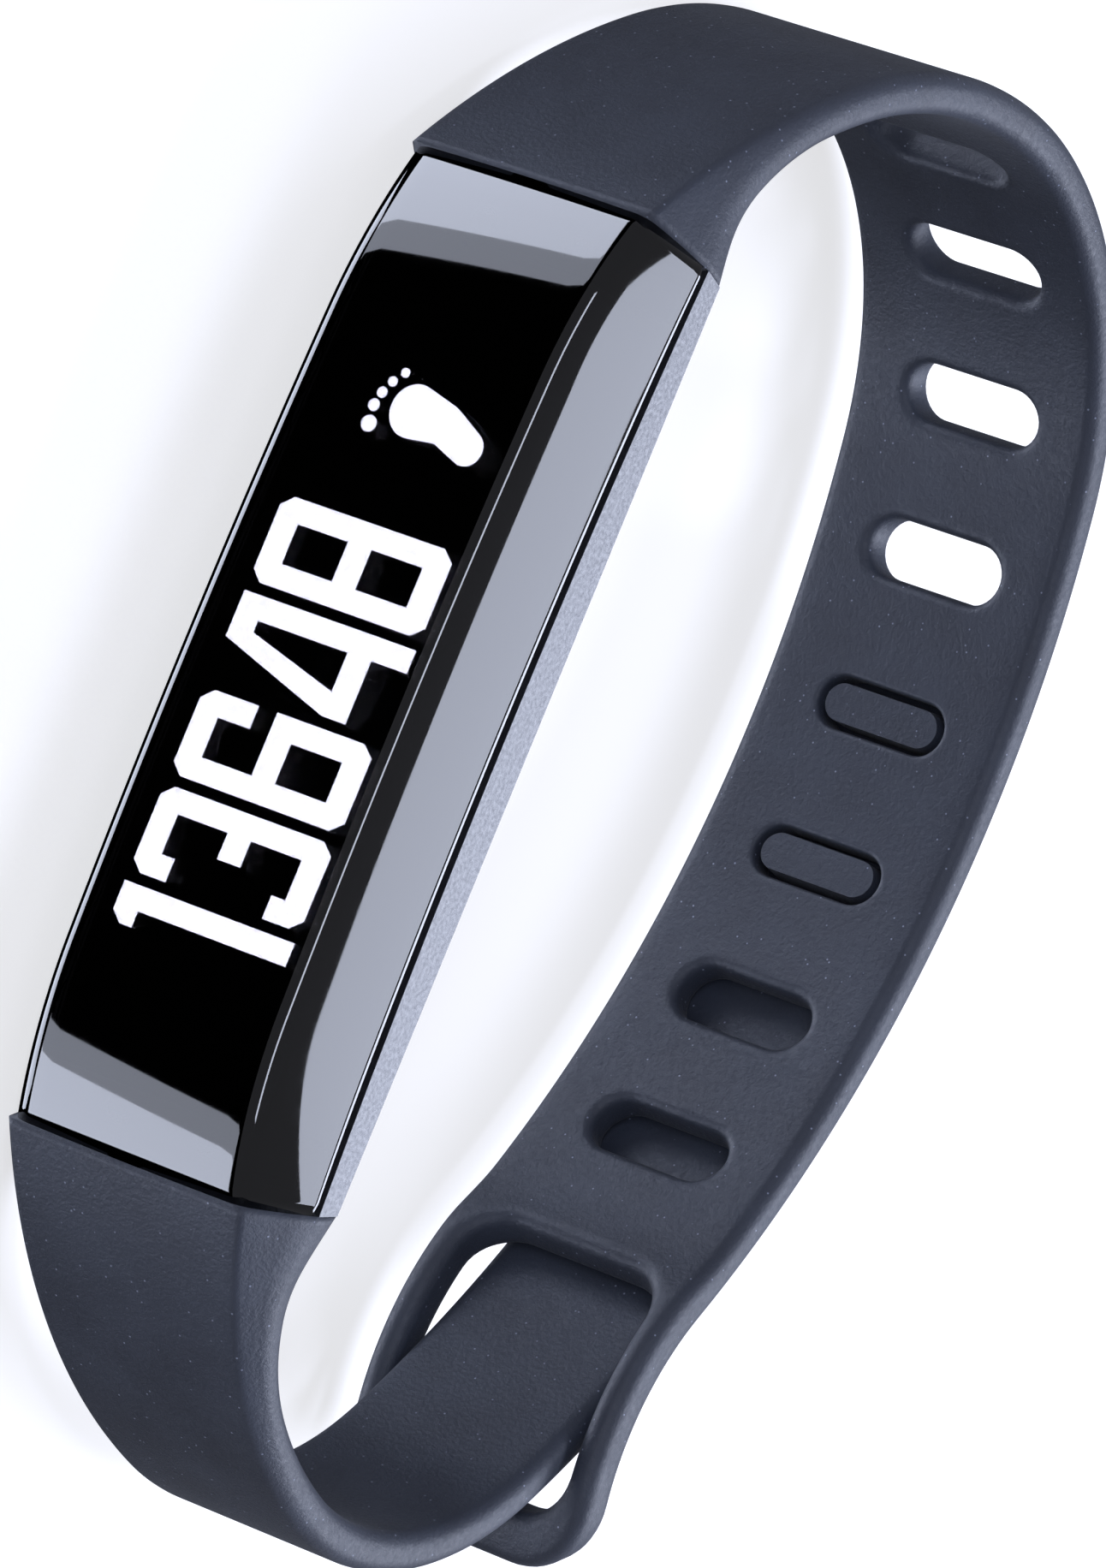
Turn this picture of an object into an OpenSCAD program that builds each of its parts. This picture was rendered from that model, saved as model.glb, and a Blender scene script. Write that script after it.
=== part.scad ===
// Fitness tracker band, buckled into a ring and lying on its side.
// The ring is drawn about the middle of the screen: +X towards the peg strap, +Y from the screen into
// the wrist, Z across the band. Module place() then moves it so that it stands on Z = 0.

/* [Tracker module] */
// Length of the module along the band, at the top edge
module_len = 45.3; // [42:0.1:52]
// Width of the band and of the module at its widest
band_w = 15.8; // [15:0.1:19]
// Width of the flat top face
top_w = 12.4; // [11.8:0.1:14]
// Depth of the module from the top face to the wrist face
module_d = 9.6; // [9.4:0.1:12]
// Depth of the top cover's sloping side
bevel_d = 5.1; // [4.9:0.1:5.6]
// Height of the upright side of the bottom cover
side_h = 2; // [1.6:0.1:2.6]
// Wall of the covers
wall = 1.1; // [0.9:0.05:1.2]
// Slope of the module's end faces, in degrees
end_tilt = 15; // [8:1:20]
// Radius of the crown along the middle of the top face
crown_r = 300; // [200:10:600]
// Radius of the top face where it turns down near the ends
crown_end_r = 22.8; // [20:0.2:28]
// Where the end curve begins, as a share of the module's length each side of the middle
crown_share = 0.32; // [0.27:0.01:0.35]
// Radius of the wrist face along the band
wrist_r = 160; // [120:10:300]
// Radius of the parting line between the covers
parting_r = 320; // [250:10:600]

/* [Straps] */
// Thickness of both straps
strap_t = 1.9; // [1.6:0.1:2.2]
// Width of the strap with slots
slot_strap_w = 13.6; // [13:0.1:15]
// Width of the strap with pegs where it passes the loop
peg_strap_w = 10.3; // [9.6:0.1:10.5]
// Thickness of a strap where it meets the module
root_t = 5.2; // [4.6:0.1:5.4]
// Gap between the tail and the strap it lies on
tail_gap = 0.3; // [0.2:0.05:0.6]

/* [Slots and pegs] */
// Number of slots
slot_count = 8; // [6:1:8]
// Distance between slots along the strap
slot_pitch = 7.6; // [6.8:0.1:7.8]
// Length of a slot across the strap
slot_len = 7.2; // [6.4:0.1:8]
// Width of a slot along the strap
slot_w = 2.8; // [2.4:0.1:3.2]
// Distance from the loop end of the strap to the first slot centre
slot_margin = 7.1; // [6.4:0.1:8]
// Clearance round each peg in its slot
peg_gap = 0.3; // [0.25:0.05:0.4]
// Distance from the last peg centre to the tip of the tail
tip_len = 5.4; // [4.6:0.1:7]

/* [Loop] */
// Thickness of the loop
loop_t = 2.2; // [1.9:0.1:2.6]
// Width of each side rail of the loop
rail_w = 1.45; // [1.2:0.05:1.55]
// Length of the loop's opening along the band
loop_open = 10.8; // [9:0.1:11]
// Width of the bar at the end of the loop
end_bar = 2.2; // [1.8:0.1:2.8]
// Radius of the loop's outer corners
loop_corner = 3.6; // [2.4:0.1:4]

/* [Electronics] */
// Width of the display panel
panel_w = 9.9; // [9.6:0.1:10]
// Thickness of the display panel
panel_t = 1; // [0.8:0.1:1.1]
// Thickness of the circuit board
board_t = 0.6; // [0.5:0.1:0.8]
// Width of the battery
battery_w = 10.6; // [8:0.1:11]
// Thickness of the battery
battery_t = 2.6; // [2:0.1:2.7]
// Diameter of the vibration motor
motor_d = 7.6; // [6:0.1:8]
// Height of the vibration motor
motor_h = 2.6; // [2.3:0.1:2.8]
// Diameter of the vibration motor's shaft
shaft_d = 0.8; // [0.6:0.05:1]
// Shank diameter of the case screws
screw_d = 1.2; // [1:0.05:1.4]
// Diameter of a charging contact
contact_d = 1.6; // [1.2:0.1:1.8]

/* [Hidden] */
eps = 0.01;
fit_gap = 0.05;
$fn = 96;

// ---- Arcs of the band: a pose is [x, y, heading], an arc is [radius, turn], turns left positive ----

// The strap lies on the wrist side of its outer line, which is on the path's left or right.
left = 1;
right = -1;

function arc_end(p, arc) =
    let (r = arc[0] * sign(arc[1]), h = p[2] + arc[1])
    [p[0] + r * (sin(h) - sin(p[2])), p[1] + r * (cos(p[2]) - cos(h)), h];
function pose_at(p, arcs, n) = n == 0 ? p : arc_end(pose_at(p, arcs, n - 1), arcs[n - 1]);
function arc_len(arc) = arc[0] * abs(arc[1]) * PI / 180;
function path_len(arcs, n) = n == 0 ? 0 : path_len(arcs, n - 1) + arc_len(arcs[n - 1]);
function pose_along(p, arcs, d, i = 0) =
    (i == len(arcs) - 1 || d <= arc_len(arcs[i]))
        ? arc_end(p, [arcs[i][0], arcs[i][1] * d / arc_len(arcs[i])])
        : pose_along(arc_end(p, arcs[i]), arcs, d - arc_len(arcs[i]), i + 1);
function inset_pose(p, inside, d) = [p[0] - inside * d * sin(p[2]), p[1] + inside * d * cos(p[2]), p[2]];
function inset_arcs(arcs, inside, d) = [for (a = arcs) [a[0] - (sign(a[1]) == inside ? d : -d), a[1]]];
function arc_centre(p, arc) =
    [p[0] - arc[0] * sign(arc[1]) * sin(p[2]), p[1] + arc[0] * sign(arc[1]) * cos(p[2])];

// Children, drawn in 2D with x from the outer line inwards and y across the band, swept along one arc
// and past both its ends by the length over
module arc_solid(p, arc, inside, over = 0) {
    turn = sign(arc[1]);
    start = p[2] - 90 * turn;
    past = over / arc[0] * 180 / PI;
    translate(arc_centre(p, arc))
        rotate([0, 0, (turn > 0 ? start : start + arc[1]) - past])
            rotate_extrude(angle = abs(arc[1]) + 2 * past, $fn = 180)
                translate([arc[0], 0])
                    mirror([turn == inside ? 1 : 0, 0])
                        children();
}

// Children moved to a pose: +X along the path, +Y towards the wrist
module at_pose(p, inside) {
    translate([p[0], p[1]])
        rotate([0, 0, p[2]])
            mirror([0, inside == right ? 1 : 0, 0])
                children();
}

// Rectangle with x from 0 to t and y centred, its corners rounded, brought in by d all round
module strap_section(t, w, r = 0.6, d = 0) {
    translate([r, d - w / 2])
        square([t - 2 * r, w - 2 * d]);
    translate([d, r - w / 2])
        square([t - 2 * d, w - 2 * r]);
    for (x = [r, t - r], y = [r - w / 2, w / 2 - r])
        translate([x, y])
            circle(r - d, $fn = 24);
}

// ---- Driving geometry of the ring ----

end_x = module_len / 2;
crown_break = crown_share * module_len;
crown_turn = asin(crown_break / crown_r);
crown_centre = [crown_break - crown_end_r * sin(crown_turn),
                crown_r * (1 - cos(crown_turn)) + crown_end_r * cos(crown_turn)];
end_y = crown_centre.y - sqrt(pow(crown_end_r, 2) - pow(end_x - crown_centre.x, 2));

// Outer line of the slot strap: from the module's left end round to the loop
slot_start = [-end_x, end_y, 141];
slot_arcs = [[44, -20], [24, -34], [19, -72], [54, -45]];
slot_last = pose_at(slot_start, slot_arcs, 3);
slot_end = pose_at(slot_start, slot_arcs, 4);
back_arc = slot_arcs[3];
back_centre = arc_centre(slot_last, back_arc);

// The middle line of the slot strap carries the slots, counted from the loop
slot_mid_start = inset_pose(slot_start, right, strap_t / 2);
slot_mid_arcs = inset_arcs(slot_arcs, right, strap_t / 2);
slot_mid_len = path_len(slot_mid_arcs, 4);
function slot_pose(i) =
    pose_along(slot_mid_start, slot_mid_arcs, slot_mid_len - slot_margin - i * slot_pitch);

// The loop curves the other way, from the end of the slot strap
loop_arc = [11.8, 66];

// The tail lies on the back arc; an angle on it is measured about back_centre
tail_r = back_arc[0] + tail_gap + strap_t;
function back_angle(p) = atan2(p[1] - back_centre.y, p[0] - back_centre.x);
deg_per_mm = 180 / PI / tail_r;
loop_angle = back_angle(slot_end);
link_angles = [for (i = [0:2]) loop_angle + 1 + i * 6];
peg_angles = [for (i = [2, 3]) back_angle(slot_pose(i))];
tip_angle = peg_angles[1] + tip_len * deg_per_mm;

// Outer line of the peg strap: from the module's right end to the start of the tail. The radii of its
// last two arcs are solved so that it meets the tail in line.
tail_start = [back_centre.x + tail_r * cos(loop_angle), back_centre.y + tail_r * sin(loop_angle),
              loop_angle + 90];
peg_start = [end_x, end_y, 33];
peg_first = [28, 42];
peg_knee = arc_end(peg_start, peg_first);
knee_heading = 140;
function turn_x(a, b) = sin(b) - sin(a);
function turn_y(a, b) = cos(a) - cos(b);
knee_a = [turn_x(peg_knee[2], knee_heading), turn_y(peg_knee[2], knee_heading)];
knee_b = [turn_x(knee_heading, tail_start[2]), turn_y(knee_heading, tail_start[2])];
knee_d = [tail_start[0] - peg_knee[0], tail_start[1] - peg_knee[1]];
knee_det = knee_a.x * knee_b.y - knee_b.x * knee_a.y;
peg_arcs = [
    peg_first,
    [(knee_d.x * knee_b.y - knee_b.x * knee_d.y) / knee_det, knee_heading - peg_knee[2]],
    [(knee_a.x * knee_d.y - knee_d.x * knee_a.y) / knee_det, tail_start[2] - knee_heading]
];

// Extremes of the ring, which centre it on the origin
left_x = arc_centre(pose_at(slot_start, slot_arcs, 2), slot_arcs[2]).x - slot_arcs[2][0];
right_x = arc_centre(peg_knee, peg_arcs[1]).x + peg_arcs[1][0];
back_y = back_centre.y + tail_r;

module place() {
    translate([-(left_x + right_x) / 2, -back_y / 2, band_w / 2])
        children();
}

// ---- Outline of the tracker module ----

parting_y = bevel_d;
side_y = bevel_d + side_h;
bevel_slope = (band_w - top_w) / 2 / bevel_d;
wrist_w = 2 * (band_w / 2 - (module_d - side_y) * 0.9);
cavity_x = end_x - 3.7;

// Side view of the module, brought in by d all round
module side_view(d = 0) {
    intersection() {
        translate([0, crown_r])
            circle(crown_r - d, $fn = 720);
        union() {
            translate([-crown_break, 0])
                square([2 * crown_break, module_d]);
            for (s = [-1, 1])
                translate([s * crown_centre.x, crown_centre.y])
                    circle(crown_end_r - d, $fn = 360);
        }
        translate([0, module_d - wrist_r])
            circle(wrist_r - d, $fn = 720);
        end_outline(d);
    }
}

// Trapezium between the sloping end faces
module end_outline(d = 0) {
    y0 = -1;
    y1 = module_d + 1;
    x0 = end_x - d - tan(end_tilt) * (y0 - end_y);
    x1 = end_x - d - tan(end_tilt) * (y1 - end_y);
    polygon([[-x0, y0], [x0, y0], [x1, y1], [-x1, y1]]);
}

// Cross-section of the module, brought in by d: x is the depth from the top face, y across
module cross_view(d = 0) {
    half = [top_w / 2 - d - bevel_slope, band_w / 2 - d, band_w / 2 - d, wrist_w / 2 - d];
    depth = [-1, parting_y, side_y, module_d];
    polygon([for (i = [0:3]) [depth[i], half[i]], for (i = [3:-1:0]) [depth[i], -half[i]]]);
}

module module_solid(d = 0) {
    intersection() {
        translate([0, 0, -band_w])
            linear_extrude(2 * band_w)
                side_view(d);
        rotate([90, 0, 90])
            translate([0, 0, -module_len])
                linear_extrude(2 * module_len)
                    cross_view(d);
    }
}

// Everything on the wrist side of the parting line, moved by dy
module below_parting(dy = 0) {
    translate([0, parting_y + dy + parting_r])
        cylinder(r = parting_r, h = 4 * band_w, center = true, $fn = 720);
}

// Straight block from pose y0 to y1 in depth, centred on x and z
module block(x, y0, y1, lx, lz, z = 0) {
    translate([x - lx / 2, y0, z - lz / 2])
        cube([lx, y1 - y0, lz]);
}

// Cylinder along the depth
module post(x, z, y0, y1, d) {
    translate([x, y0, z])
        rotate([-90, 0, 0])
            cylinder(d = d, h = y1 - y0, $fn = 48);
}

// ---- Depths of what is stacked inside ----

boss_x = cavity_x - 1.35;
boss_z = 4.4;
boss_d = 2.9;
panel_len = 2 * boss_x - 5.2;
frame_rim = 0.4;
frame_half = panel_len / 2 + frame_rim + fit_gap;
panel_y = crown_centre.y - sqrt(pow(crown_end_r - wall, 2) - pow(frame_half - crown_centre.x, 2)) + 0.01;
readout_t = 0.06;
frame_y = panel_y + panel_t;
frame_floor = 0.7;
board_y = frame_y + frame_floor;
chip_y = board_y + board_t;
chip_max = 1;
foam_y = chip_y + chip_max;
foam_t = 0.35;
battery_y = foam_y + foam_t;
head_d = screw_d * 1.9;
head_h = 0.7;
motor_x = boss_x - 4.7;
contact_mid = 3.2 - boss_x;
contact_step = 1.3;
battery_ends = [contact_mid + 4.3, motor_x - motor_d / 2 - 0.6];
battery_x = (battery_ends[0] + battery_ends[1]) / 2;
battery_len = battery_ends[1] - battery_ends[0];
board_len = 2 * cavity_x - 0.4;
board_w = 11;
screw_head_y = module_d - pow(boss_x, 2) / 2 / wrist_r - 0.5;

module at_bosses() {
    for (x = [-boss_x, boss_x], z = [-boss_z, boss_z])
        translate([x, 0, z])
            children();
}

// ---- Covers ----

module top_cover() {
    color("#08090b")
        place() {
            difference() {
                module_solid();
                below_parting();
                intersection() {
                    module_solid(wall);
                    block(0, 0, module_d, 2 * cavity_x, 2 * band_w);
                }
            }
            difference() {
                intersection() {
                    at_bosses() post(0, 0, 0, module_d, boss_d);
                    module_solid(wall / 2);
                }
                below_parting();
                at_bosses() post(0, 0, parting_y - 2.6, module_d, screw_d);
                block(0, 0, frame_y + frame_floor, panel_len + 2.4, band_w);
            }
        }
}

module bottom_cover() {
    color("#343a49")
        place()
            difference() {
                intersection() {
                    module_solid();
                    below_parting();
                }
                difference() {
                    intersection() {
                        module_solid(wall);
                        block(0, 0, module_d, 2 * cavity_x, 2 * band_w);
                    }
                    at_bosses() post(0, 0, 0, module_d, boss_d);
                    block(battery_x, battery_y + battery_t, module_d, battery_len - 3, battery_w - 2);
                }
                gasket_shape();
                block(battery_x, battery_y, battery_y + battery_t, battery_len, battery_w);
                at_bosses() {
                    post(0, 0, 0, module_d, screw_d + 2 * fit_gap);
                    post(0, 0, screw_head_y - head_h, module_d + 1, head_d + 4 * fit_gap);
                }
                insulator_shape(module_d);
                for (s = [-1, 1]) {
                    tongue_shape(s, fit_gap);
                    pin_shapes(s, fit_gap);
                }
            }
}

// Strip that follows the parting line, inset from the outside of the wall
gasket_inset = 0.35;
gasket_w = 0.4;
gasket_h = 0.35;
module gasket_shape() {
    intersection() {
        difference() {
            below_parting();
            below_parting(gasket_h);
        }
        difference() {
            gasket_prism(gasket_inset);
            gasket_prism(gasket_inset + gasket_w);
        }
    }
}

module gasket_prism(d) {
    x = end_x - tan(end_tilt) * (side_y - end_y) - d;
    block(0, 0, module_d, 2 * x, band_w - 2 * d);
}

module cover_gasket() {
    color("#1c1f26")
        place()
            gasket_shape();
}

module case_screws() {
    color("#9a9ea6")
        place()
            at_bosses()
                difference() {
                    union() {
                        post(0, 0, parting_y - 1.2, screw_head_y, screw_d);
                        post(0, 0, screw_head_y - head_h, screw_head_y, head_d);
                    }
                    for (a = [0, 90])
                        translate([0, screw_head_y, 0])
                            rotate([0, a, 0])
                                cube([head_d * 0.7, 0.5, 0.25], center = true);
                }
}

// ---- Display ----

digit_w = 3.95;
digit_h = 9.2;
digit_pitch = 4.45;
bar_x = 1.06;
bar_y = 1.22;
cut = [0.5, 0.58];
digit_first = 13.47;

// Rectangle with its corners cut off where the list says: lower left, lower right, upper right, upper left
module cut_box(w, h, corners = [1, 1, 1, 1]) {
    difference() {
        square([w, h]);
        for (i = [0:3])
            if (corners[i])
                translate([(i == 1 || i == 2) ? w : 0, i > 1 ? h : 0])
                    polygon([[cut.x, 0], [0, cut.y], [-cut.x, 0], [0, -cut.y]]);
    }
}

window_w = digit_w - 2 * bar_x;
window_h = (digit_h - 3 * bar_y) / 2;
module window(row) {
    translate([bar_x, bar_y + row * (window_h + bar_y)])
        square([window_w, window_h]);
}

module digit(n) {
    if (n == 1) {
        translate([window_w + bar_x, 0])
            square([bar_x, digit_h]);
        translate([window_w + bar_x * 0.3, digit_h - bar_y])
            cut_box(bar_x * 0.7, bar_y, [0, 0, 0, 1]);
    }
    if (n == 3)
        difference() {
            cut_box(digit_w, digit_h);
            window(0);
            window(1);
            translate([-eps, bar_y * 1.6])
                square([bar_x * 1.6, window_h + window_h + bar_y - bar_y * 1.2]);
        }
    if (n == 4)
        difference() {
            polygon([[0, 3 * bar_y - cut.y], [0, 2 * bar_y - cut.y], [window_w + bar_x, 2 * bar_y - cut.y],
                     [window_w + bar_x, 0], [digit_w, 0], [digit_w, digit_h], [window_w, digit_h]]);
            polygon([[1.1, 3 * bar_y - cut.y], [window_w + bar_x, 3 * bar_y - cut.y],
                     [window_w + bar_x, digit_h - bar_y], [window_w + bar_x / 2, digit_h - bar_y]]);
        }
    if (n == 6)
        difference() {
            cut_box(digit_w, digit_h);
            window(0);
            window(1);
            translate([digit_w - bar_x - eps, 2 * bar_y + window_h])
                square([bar_x + 1, bar_y * 0.85]);
        }
    if (n == 8)
        difference() {
            cut_box(digit_w, digit_h);
            window(0);
            window(1);
        }
}

// Bare footprint in its own frame: the heel is at the origin, the toes above it
sole = [[0, 0, 0.8], [0.65, 1.5, 0.9], [0.75, 3.15, 1.2]];
toes = [[-0.34, 5.08, 0.37], [0.48, 5.2, 0.27], [1.1, 5.05, 0.24], [1.68, 4.75, 0.22], [2.2, 4.31, 0.21]];
module footprint() {
    for (i = [0, 1])
        hull()
            for (c = [sole[i], sole[i + 1]])
                translate([c[0], c[1]])
                    circle(c[2], $fn = 32);
    for (c = toes)
        translate([c[0], c[1]])
            circle(c[2], $fn = 24);
}

module display_readout() {
    color("white")
        place()
            translate([0, panel_y, 0])
                rotate([90, 180, 0])
                    linear_extrude(readout_t) {
                        for (i = [0:4])
                            translate([-digit_first - digit_w / 2 + i * digit_pitch, -digit_h / 2])
                                digit([1, 3, 6, 4, 8][i]);
                        translate([-digit_first + 5 * digit_pitch + 1.87, -3.1])
                            footprint();
                    }
}

module oled_panel() {
    color("#15171c")
        place()
            block(0, panel_y, panel_y + panel_t, panel_len, panel_w);
}

module oled_frame() {
    color("#e8e8e4")
        place()
            difference() {
                block(0, panel_y, board_y, 2 * frame_half, panel_w + 2 * frame_rim + 2 * fit_gap);
                block(0, panel_y - 1, frame_y, panel_len + 2 * fit_gap, panel_w + 2 * fit_gap);
                block(-panel_len / 2, panel_y - 1, frame_y, 2, 5);
            }
}

// Ribbon that leaves the panel's end through a gap in the frame, steps down and lies on the board
flex_w = 4.4;
flex_t = 0.15;
flex_x = -panel_len / 2 - 1.1;
module oled_flex() {
    color("#b8792a")
        place() {
            block(flex_x / 2 - panel_len / 4, panel_y + 0.3, panel_y + 0.3 + flex_t,
                  -flex_x - panel_len / 2, flex_w);
            block(flex_x - flex_t / 2, panel_y + 0.3, board_y, flex_t, flex_w);
            block(flex_x - 0.7, board_y - flex_t, board_y, 1.4, flex_w);
        }
}

// ---- Board and what is on it ----

module circuit_board() {
    color("#1f5a3a")
        place()
            difference() {
                block(0, board_y, chip_y, board_len, board_w);
                at_bosses() post(0, 0, board_y - 1, chip_y + 1, boss_d + 4 * fit_gap);
                for (s = [-1, 1], t = [-1, 1])
                    block(s * (boss_x + 1), board_y - 1, chip_y + 1, 2, 2, t * (boss_z + 1));
            }
}

module chip(x, z, lx, lz, h, tint) {
    color(tint)
        place()
            block(x, chip_y, chip_y + h, lx, lz, z);
}

module processor_chip() {
    chip(-2, 0, 5, 5, 0.9, "#17181b");
}

module radio_chip() {
    chip(-8.6, 1.6, 4, 4, 0.85, "#17181b");
}

module memory_chip() {
    chip(3.9, 2.4, 3, 2, 0.75, "#1d1e22");
}

module motion_sensor() {
    chip(3.9, -1.6, 2.5, 2.5, chip_max, "#222329");
}

module clock_crystal() {
    chip(-7, -3, 3.2, 1.5, 0.7, "#c9cacf");
}

module bluetooth_antenna() {
    chip(-boss_x, 0, 2, 5, 0.8, "#d8d4c4");
}

module battery_connector() {
    chip(-14.2, 3.6, 2.2, 3, chip_max, "#efe9d6");
}

module battery_foam() {
    color("#3a3c40")
        place()
            block(battery_x, foam_y, battery_y, battery_len - 2, battery_w - 1.6);
}

module battery() {
    color("#b9bcc2")
        place()
            translate([battery_x - battery_len / 2, battery_y, 0])
                rotate([90, 0, 90])
                    linear_extrude(battery_len)
                        strap_section(battery_t, battery_w, 0.7);
}

// ---- Charging contacts in their insulator, flush with the wrist face ----

contact_face = module_d - pow(contact_mid, 2) / 2 / wrist_r - 0.1;
insulator_t = 1.4;
flange_t = 0.35;
module insulator_shape(y1) {
    block(contact_mid, contact_face - insulator_t, y1, 5, 5.4);
}

module at_contacts() {
    for (x = [-contact_step, contact_step], z = [-contact_step, contact_step])
        translate([contact_mid + x, 0, z])
            children();
}

module contact_insulator() {
    color("#2a2e38")
        place()
            difference() {
                insulator_shape(contact_face);
                at_contacts()
                    post(0, 0, 0, module_d, contact_d + 2 * fit_gap);
            }
}

module charging_contacts() {
    color("#d9b25a")
        place()
            at_contacts() {
                post(0, 0, contact_face - insulator_t - flange_t, contact_face, contact_d);
                post(0, 0, contact_face - insulator_t - flange_t, contact_face - insulator_t, contact_d + 0.6);
            }
}

// ---- Vibration motor: a weight that turns off centre on a fixed shaft ----

motor_wall = 0.25;
rotor_h = motor_h - 2 * motor_wall - 0.4;
module motor_case() {
    color("#a9adb3")
        place()
            difference() {
                post(motor_x, 0, chip_y, chip_y + motor_h - motor_wall, motor_d);
                post(motor_x, 0, chip_y + motor_wall, chip_y + motor_h, motor_d - 2 * motor_wall);
                post(motor_x, 0, chip_y - 1, chip_y + 1, shaft_d);
            }
}

module motor_lid() {
    color("#8d9096")
        place()
            difference() {
                post(motor_x, 0, chip_y + motor_h - motor_wall, chip_y + motor_h, motor_d);
                post(motor_x, 0, chip_y, chip_y + motor_h + 1, shaft_d);
            }
}

module motor_shaft() {
    color("#d5d7da")
        place()
            post(motor_x, 0, chip_y, chip_y + motor_h, shaft_d);
}

module motor_rotor() {
    y0 = chip_y + motor_wall + 0.2;
    color("#6f6a5e")
        place()
            difference() {
                union() {
                    post(motor_x, 0, y0, y0 + rotor_h, shaft_d + 1.2);
                    intersection() {
                        post(motor_x, 0, y0, y0 + rotor_h, motor_d - 2 * motor_wall - 0.6);
                        block(motor_x + motor_d / 2, y0, y0 + rotor_h, motor_d, motor_d);
                    }
                }
                post(motor_x, 0, 0, module_d, shaft_d + 2 * fit_gap);
            }
}

// ---- Tongues that hold the straps to the module ----

tongue_y = parting_y + pow(end_x, 2) / 2 / parting_r + 0.35;
tongue_t = 0.9;
tongue_w = 8;
tongue_in = end_x - 3.6;
tongue_out = end_x + 2.6;
pin_d = 1;
pin_x = end_x - 2.7;
pin_top = parting_y + pow(pin_x, 2) / 2 / parting_r + 0.05;
pin_z = 2.4;

module tongue_shape(s, d = 0) {
    block(s * (tongue_in + tongue_out) / 2, tongue_y - d, tongue_y + tongue_t + d,
          tongue_out - tongue_in + 2 * d, tongue_w + 2 * d);
}

module pin_shapes(s, d = 0) {
    for (z = [-pin_z, pin_z])
        post(s * pin_x, z, pin_top - (d > 0 ? 2 : 0), tongue_y + tongue_t + 0.5, pin_d + 2 * d);
}

module tongue(s) {
    color("#23262e")
        place()
            difference() {
                tongue_shape(s);
                pin_shapes(s, fit_gap);
            }
}

module slot_strap_tongue() {
    tongue(-1);
}

module peg_strap_tongue() {
    tongue(1);
}

module strap_pins() {
    color("#b4b8be")
        place()
            for (s = [-1, 1])
                pin_shapes(s);
}

// ---- Straps ----

root_fade_t = 13;
slot_root_len = 15;
peg_root_len = 27;
root_steps = 5;
function fade(d, len) = pow(max(0, 1 - d / len), 1.6);

// Thin slice across the strap at a distance d from the module, where the strap fades from the module's
// section to its own width over fade_w
module root_slice(p, inside, d, plain_w, fade_w) {
    deep = fade(d, root_fade_t);
    wide = fade(d, fade_w);
    t = strap_t + (root_t - strap_t) * deep;
    w_in = plain_w + (band_w - plain_w) * wide;
    w_out = w_in - 1.2 + (top_w - band_w + 1.2) * wide;
    lip = 0.5 + (bevel_d - 2) * deep;
    at_pose(p, inside)
        rotate([90, 0, 90])
            linear_extrude(eps)
                polygon([[0, -w_out / 2], [0, w_out / 2], [lip, w_in / 2], [t - 0.4, w_in / 2],
                         [t, w_in / 2 - 0.5], [t, 0.5 - w_in / 2], [t - 0.4, -w_in / 2], [lip, -w_in / 2]]);
}

// Root of a strap on side s: slices joined in pairs, thickened round the tongue and cut back to the
// module's sloping end face
root_back = 2;
rib = 0.6;
module strap_root(start, arcs, inside, plain_w, len, s) {
    back = [start[0] - root_back * cos(start[2]), start[1] - root_back * sin(start[2]), start[2]];
    difference() {
        union() {
            for (i = [0:root_steps - 1])
                hull()
                    for (k = [i, i + 1])
                        root_slice(k == 0 ? back : pose_along(start, arcs, k * len / root_steps), inside,
                                   k * len / root_steps, plain_w, len);
            tongue_shape(s, rib);
        }
        module_cut();
    }
}

// The part of a path past a distance d, as its own arcs
function arcs_after(arcs, d, i = 0) =
    d < arc_len(arcs[i])
        ? concat([[arcs[i][0], arcs[i][1] * (1 - d / arc_len(arcs[i]))]],
                 [for (k = [i + 1:1:len(arcs) - 1]) arcs[k]])
        : arcs_after(arcs, d - arc_len(arcs[i]), i + 1);

// Strap section swept along a whole path. Every other arc is a hair smaller and reaches into its
// neighbours, so that the strap is one solid.
module run_solid(start, arcs, inside, w) {
    for (i = [0:len(arcs) - 1])
        arc_solid(pose_at(start, arcs, i), arcs[i], inside, i % 2 == 1 ? 10 * eps : 0)
            strap_section(strap_t, w, d = i % 2 == 1 ? eps : 0);
}

// The space the module takes, and all between its ends
module module_cut() {
    translate([0, 0, -band_w])
        linear_extrude(2 * band_w)
            end_outline(-fit_gap);
}

// Rounded slot along the local Y, through the strap
module slot_cut() {
    half = (slot_len - slot_w) / 2;
    for (z = [-half, half])
        translate([0, 0, z])
            rotate([90, 0, 0])
                cylinder(d = slot_w, h = 3 * strap_t, center = true, $fn = 48);
    cube([slot_w, 3 * strap_t, 2 * half], center = true);
}

// Rounded rectangle, centred in y, from x0 to x1
module rounded_rect(x0, x1, w, r) {
    translate([x0 + r, -w / 2])
        square([x1 - x0 - 2 * r, w]);
    translate([x0, r - w / 2])
        square([x1 - x0, w - 2 * r]);
    for (x = [x0 + r, x1 - r], y = [r - w / 2, w / 2 - r])
        translate([x, y])
            circle(r, $fn = 48);
}

// Outline drawn in x and z, carried through the band's depth at the loop
module through_loop(x, y) {
    translate([x, y, 0])
        rotate([90, 0, 0])
            linear_extrude(30, center = true)
                children();
}

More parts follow.
